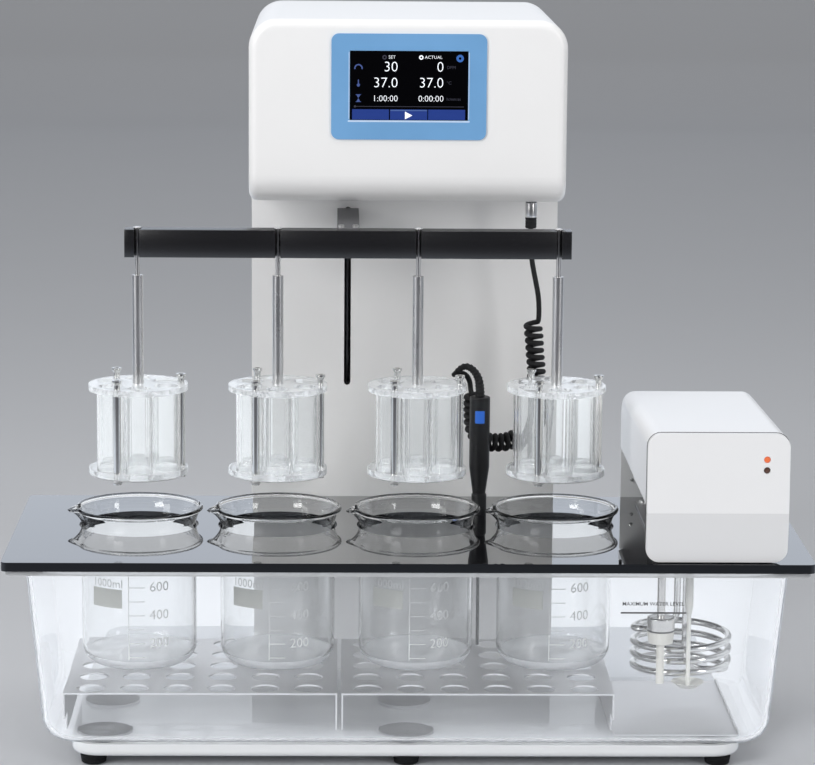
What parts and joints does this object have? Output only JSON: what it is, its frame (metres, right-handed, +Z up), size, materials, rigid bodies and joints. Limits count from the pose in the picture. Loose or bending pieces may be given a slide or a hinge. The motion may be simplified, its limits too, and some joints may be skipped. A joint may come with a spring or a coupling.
{
  "type": "tablet disintegration tester",
  "caption": "Bench tester that raises and lowers tube baskets in glass beakers standing in a heated water bath, driven from a slotted column with a touch screen head.",
  "frame": {"origin": "on the bench, under the middle of the outline", "axes": "+X along the row of stations towards the heater, -Y towards the user, +Z up"},
  "size_m": [0.7114, 0.472, 0.6575],
  "materials": {
    "base_paint": "satin",
    "foot_rubber": "matte",
    "body_paint": "satin",
    "bezel_blue": "satin",
    "screen_black": "gloss",
    "clear_tank": "clear",
    "deck_black": "gloss",
    "shelf_steel": "satin",
    "clear_glass": "clear",
    "heater_paint": "gloss",
    "chassis_steel": "satin",
    "coil_steel": "polished",
    "pump_plastic": "matte",
    "motor_dark": "matte",
    "lamp_orange": "gloss",
    "black_anodised": "satin",
    "screw_steel": "polished",
    "bare_aluminium": "satin",
    "ground_steel": "polished",
    "clear_acrylic": "clear",
    "mesh_steel": "woven",
    "probe_black": "satin",
    "lead_black": "matte",
    "plug_steel": "polished",
    "black_plastic": "satin"
  },
  "bodies": {
    "stand": {"base_housing": "base_paint", "rubber_feet": "foot_rubber", "tank_pads": "foot_rubber", "column_shell": "body_paint", "rear_cover": "body_paint", "head_shell": "body_paint", "screen_bezel": "bezel_blue", "touch_screen": "screen_black", "mains_inlet": "black_plastic", "water_bath_tank": "clear_tank", "bath_deck": "deck_black", "beaker_shelves": "shelf_steel", "beakers": "clear_glass", "heater_front_panel": "heater_paint", "heater_hood": "heater_paint", "heater_chassis": "chassis_steel", "heater_coil": "coil_steel", "pump_housing": "pump_plastic", "pump_motor": "motor_dark", "level_sensor": "pump_plastic", "indicator_lights": "lamp_orange", "guide_rods": "ground_steel", "drive_frame": "bare_aluminium", "drive_motor": "motor_dark", "probe_handle": "probe_black", "probe_reliefs": "lead_black", "probe_cable": "lead_black", "probe_cable_coil": "lead_black", "probe_plug": "plug_steel"},
    "lift": {"hanger_beam": "black_anodised", "drive_arm": "bare_aluminium", "arm_screws": "screw_steel", "carriage": "bare_aluminium"},
    "screw": {"lead_screw": "ground_steel"},
    "impeller": {"pump_impeller": "pump_plastic"},
    "rocker": {"power_switch": "black_plastic"},
    "basket_1": {"basket_1_hanger": "screw_steel", "basket_1_plates": "clear_acrylic", "basket_1_tubes": "clear_glass", "basket_1_bolts": "screw_steel", "basket_1_mesh": "mesh_steel", "basket_1_discs": "clear_acrylic"},
    "basket_2": {"basket_2_hanger": "screw_steel", "basket_2_plates": "clear_acrylic", "basket_2_tubes": "clear_glass", "basket_2_bolts": "screw_steel", "basket_2_mesh": "mesh_steel", "basket_2_discs": "clear_acrylic"},
    "basket_3": {"basket_3_hanger": "screw_steel", "basket_3_plates": "clear_acrylic", "basket_3_tubes": "clear_glass", "basket_3_bolts": "screw_steel", "basket_3_mesh": "mesh_steel", "basket_3_discs": "clear_acrylic"},
    "basket_4": {"basket_4_hanger": "screw_steel", "basket_4_plates": "clear_acrylic", "basket_4_tubes": "clear_glass", "basket_4_bolts": "screw_steel", "basket_4_mesh": "mesh_steel", "basket_4_discs": "clear_acrylic"}
  },
  "joints": [
    {"name": "basket_lift", "type": "slide", "parent": "stand", "child": "lift", "axis": [0, 0, -1], "range_m": [0, 0.147]},
    {"name": "lead_screw_spin", "type": "hinge", "parent": "stand", "child": "screw", "pos_m": [-0.05395, 0.115, 0.35], "axis": [0, 0, 1], "range_deg": [-1, 2647]},
    {"name": "impeller_spin", "type": "hinge", "parent": "stand", "child": "impeller", "pos_m": [0.22935, -0.154, 0.118], "axis": [0, 0, 1], "continuous": true},
    {"name": "power_rocker", "type": "hinge", "parent": "stand", "child": "rocker", "pos_m": [0.095, 0.2265, 0.1265], "axis": [1, 0, 0], "range_deg": [-14, 0]},
    {"name": "basket_1_swivel", "type": "hinge", "parent": "lift", "child": "basket_1", "pos_m": [-0.24445, -0.082, 0.45], "axis": [0, 0, 1], "continuous": true},
    {"name": "basket_2_swivel", "type": "hinge", "parent": "lift", "child": "basket_2", "pos_m": [-0.11745, -0.082, 0.45], "axis": [0, 0, 1], "continuous": true},
    {"name": "basket_3_swivel", "type": "hinge", "parent": "lift", "child": "basket_3", "pos_m": [0.00955, -0.082, 0.45], "axis": [0, 0, 1], "continuous": true},
    {"name": "basket_4_swivel", "type": "hinge", "parent": "lift", "child": "basket_4", "pos_m": [0.13655, -0.082, 0.45], "axis": [0, 0, 1], "continuous": true}
  ],
  "couplings": [
    {"joint": "lead_screw_spin", "follows": "basket_lift", "rad_per_m": 314.16}
  ]
}
